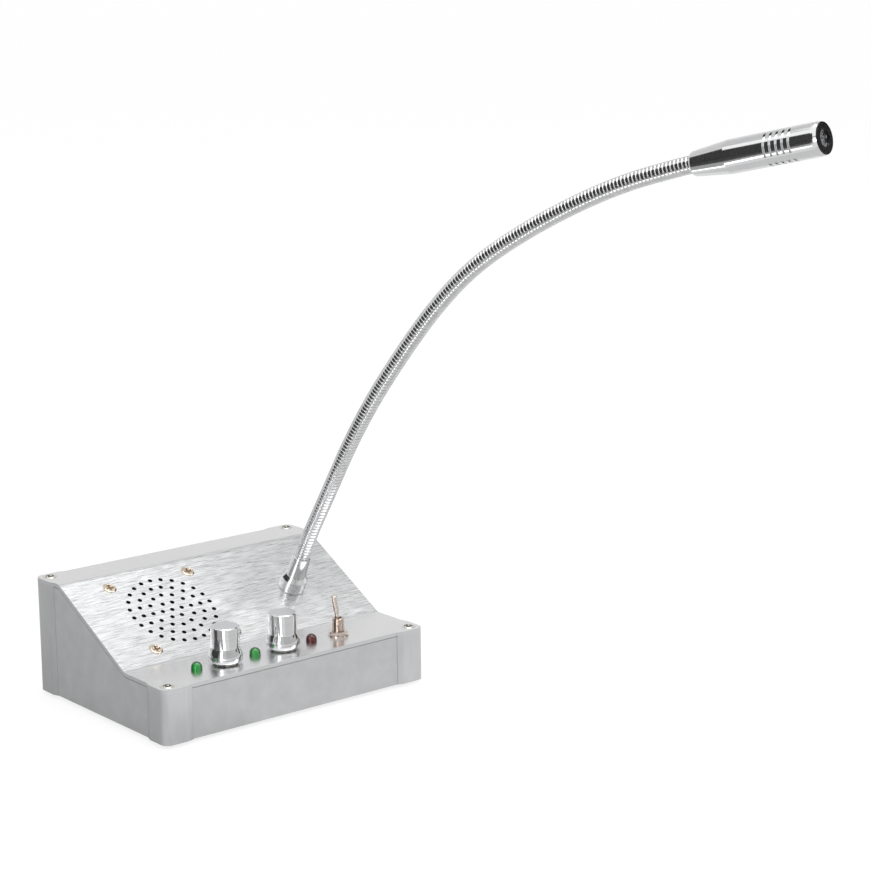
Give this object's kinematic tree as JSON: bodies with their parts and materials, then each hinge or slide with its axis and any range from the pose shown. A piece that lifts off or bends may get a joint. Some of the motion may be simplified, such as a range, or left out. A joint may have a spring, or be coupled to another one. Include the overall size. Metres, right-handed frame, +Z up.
{
  "type": "teller window intercom",
  "caption": "Wedge-shaped metal desk intercom for a counter window, with a round speaker grille, volume knobs, a toggle switch, indicator lamps and a gooseneck microphone.",
  "frame": {"origin": "on the desk plane, at the feet's underside, under the middle of the case", "axes": "+X to the user's right, +Y to the rear, +Z up; the user faces the -Y side"},
  "size_m": [0.1812, 0.3744, 0.3062],
  "materials": {
    "steel_dark": "satin",
    "post_satin": "satin anodised",
    "panel_grey": "satin anodised",
    "plate_brushed": "brushed",
    "screw_nickel": "nickel plated",
    "screw_brassy": "yellow zinc plated",
    "foot_rubber": "matt",
    "cloth_black": "matt",
    "basket_steel": "satin",
    "magnet_dark": "matt",
    "cone_black": "matt",
    "board_green": "satin",
    "nylon_white": "satin",
    "parts_black": "satin",
    "pot_steel": "plain",
    "knob_turned": "polished, turned",
    "grub_black": "blackened",
    "switch_blue": "satin",
    "switch_brass": "nickel plated",
    "lens_green": "glossy",
    "lens_red": "glossy",
    "socket_black": "satin",
    "neck_chrome": "polished",
    "mic_satin": "satin chrome plated",
    "insert_black": "glossy",
    "capsule_metal": "satin"
  },
  "bodies": {
    "case": {"base_plate": "steel_dark", "rubber_feet": "foot_rubber", "base_screws": "screw_nickel", "post_front_left": "post_satin", "post_front_right": "post_satin", "post_rear_left": "post_satin", "post_rear_right": "post_satin", "panel_front": "panel_grey", "panel_rear": "panel_grey", "panel_left": "panel_grey", "panel_right": "panel_grey", "top_plate": "plate_brushed", "top_screws": "screw_nickel", "grille_cloth": "cloth_black", "speaker_basket": "basket_steel", "speaker_magnet": "magnet_dark", "speaker_cone": "cone_black", "speaker_screws": "screw_brassy", "speaker_nuts": "screw_nickel", "circuit_board": "board_green", "board_spacers": "nylon_white", "board_parts": "parts_black", "volume_pot_left": "pot_steel", "volume_pot_right": "pot_steel", "pot_nuts": "screw_nickel", "switch_case": "switch_blue", "switch_bushing": "switch_brass", "switch_nut": "switch_brass", "lamp_left": "lens_green", "lamp_middle": "lens_green", "lamp_right": "lens_red", "power_socket": "socket_black", "line_socket": "socket_black", "socket_nuts": "screw_nickel", "neck_collar": "neck_chrome", "neck_nut": "screw_nickel", "neck_ferrule": "neck_chrome", "neck_stub": "neck_chrome"},
    "left_knob": {"knob_left": "knob_turned", "grub_screw_left": "grub_black", "pot_shaft_left": "knob_turned"},
    "right_knob": {"knob_right": "knob_turned", "grub_screw_right": "grub_black", "pot_shaft_right": "knob_turned"},
    "lever": {"switch_lever": "switch_brass"},
    "neck_part_1": {"neck_1": "neck_chrome"},
    "neck_part_2": {"neck_2": "neck_chrome"},
    "neck_part_3": {"neck_3": "neck_chrome"},
    "neck_part_4": {"neck_4": "neck_chrome"},
    "neck_part_5": {"neck_5": "neck_chrome"},
    "neck_part_6": {"neck_6": "neck_chrome"},
    "neck_part_7": {"neck_7": "neck_chrome"},
    "neck_part_8": {"neck_8": "neck_chrome"},
    "neck_part_9": {"neck_9": "neck_chrome"},
    "neck_part_10": {"neck_10": "neck_chrome"},
    "microphone": {"neck_tip": "neck_chrome", "mic_tail": "mic_satin", "mic_shell": "mic_satin", "mic_insert": "insert_black", "mic_capsule": "capsule_metal"}
  },
  "joints": [
    {"name": "left_knob_turn", "type": "hinge", "parent": "case", "child": "left_knob", "pos_m": [-0.0317, -0.0408, 0.031], "axis": [0, 0, 1], "range_deg": [-150, 150]},
    {"name": "right_knob_turn", "type": "hinge", "parent": "case", "child": "right_knob", "pos_m": [0.0033, -0.0408, 0.031], "axis": [0, 0, 1], "range_deg": [-150, 150]},
    {"name": "lever_tip", "type": "hinge", "parent": "case", "child": "lever", "pos_m": [0.0383, -0.0408, 0.0367], "axis": [0, 1, 0], "range_deg": [0, 20]},
    {"name": "neck_lean_1", "type": "hinge", "parent": "case", "child": "neck_part_1", "pos_m": [0.0425, -0.01067, 0.07436], "axis": [0.9511, 0.2722, 0.1464], "range_deg": [-12, 10]},
    {"name": "neck_swing_1", "type": "hinge", "parent": "neck_part_1", "child": "neck_part_2", "pos_m": [0.04329, -0.02834, 0.1021], "axis": [0.3082, -0.8014, -0.5126], "range_deg": [-10, 10]},
    {"name": "neck_lean_2", "type": "hinge", "parent": "neck_part_2", "child": "neck_part_3", "pos_m": [0.04396, -0.04572, 0.13003], "axis": [0.9511, 0.2722, 0.1464], "range_deg": [-12, 10]},
    {"name": "neck_swing_2", "type": "hinge", "parent": "neck_part_3", "child": "neck_part_4", "pos_m": [0.0453, -0.06478, 0.15681], "axis": [0.3046, -0.7462, -0.5919], "range_deg": [-10, 10]},
    {"name": "neck_lean_3", "type": "hinge", "parent": "neck_part_4", "child": "neck_part_5", "pos_m": [0.04737, -0.08566, 0.18215], "axis": [0.9511, 0.2722, 0.1464], "range_deg": [-12, 10]},
    {"name": "neck_swing_3", "type": "hinge", "parent": "neck_part_5", "child": "neck_part_6", "pos_m": [0.04984, -0.10747, 0.20666], "axis": [0.2953, -0.6611, -0.6897], "range_deg": [-10, 10]},
    {"name": "neck_lean_4", "type": "hinge", "parent": "neck_part_6", "child": "neck_part_7", "pos_m": [0.05335, -0.13161, 0.22874], "axis": [0.9511, 0.2722, 0.1464], "range_deg": [-12, 10]},
    {"name": "neck_swing_4", "type": "hinge", "parent": "neck_part_7", "child": "neck_part_8", "pos_m": [0.05846, -0.15892, 0.24635], "axis": [0.2604, -0.4507, -0.8539], "range_deg": [-10, 10]},
    {"name": "neck_lean_5", "type": "hinge", "parent": "neck_part_8", "child": "neck_part_9", "pos_m": [0.06429, -0.1875, 0.26158], "axis": [0.9511, 0.2722, 0.1464], "range_deg": [-12, 10]},
    {"name": "neck_swing_5", "type": "hinge", "parent": "neck_part_9", "child": "neck_part_10", "pos_m": [0.07074, -0.21702, 0.27458], "axis": [0.2266, -0.2921, -0.9291], "range_deg": [-10, 10]},
    {"name": "neck_lean_6", "type": "hinge", "parent": "neck_part_10", "child": "microphone", "pos_m": [0.07809, -0.24771, 0.28388], "axis": [0.9511, 0.2722, 0.1464], "range_deg": [-12, 10]}
  ]
}
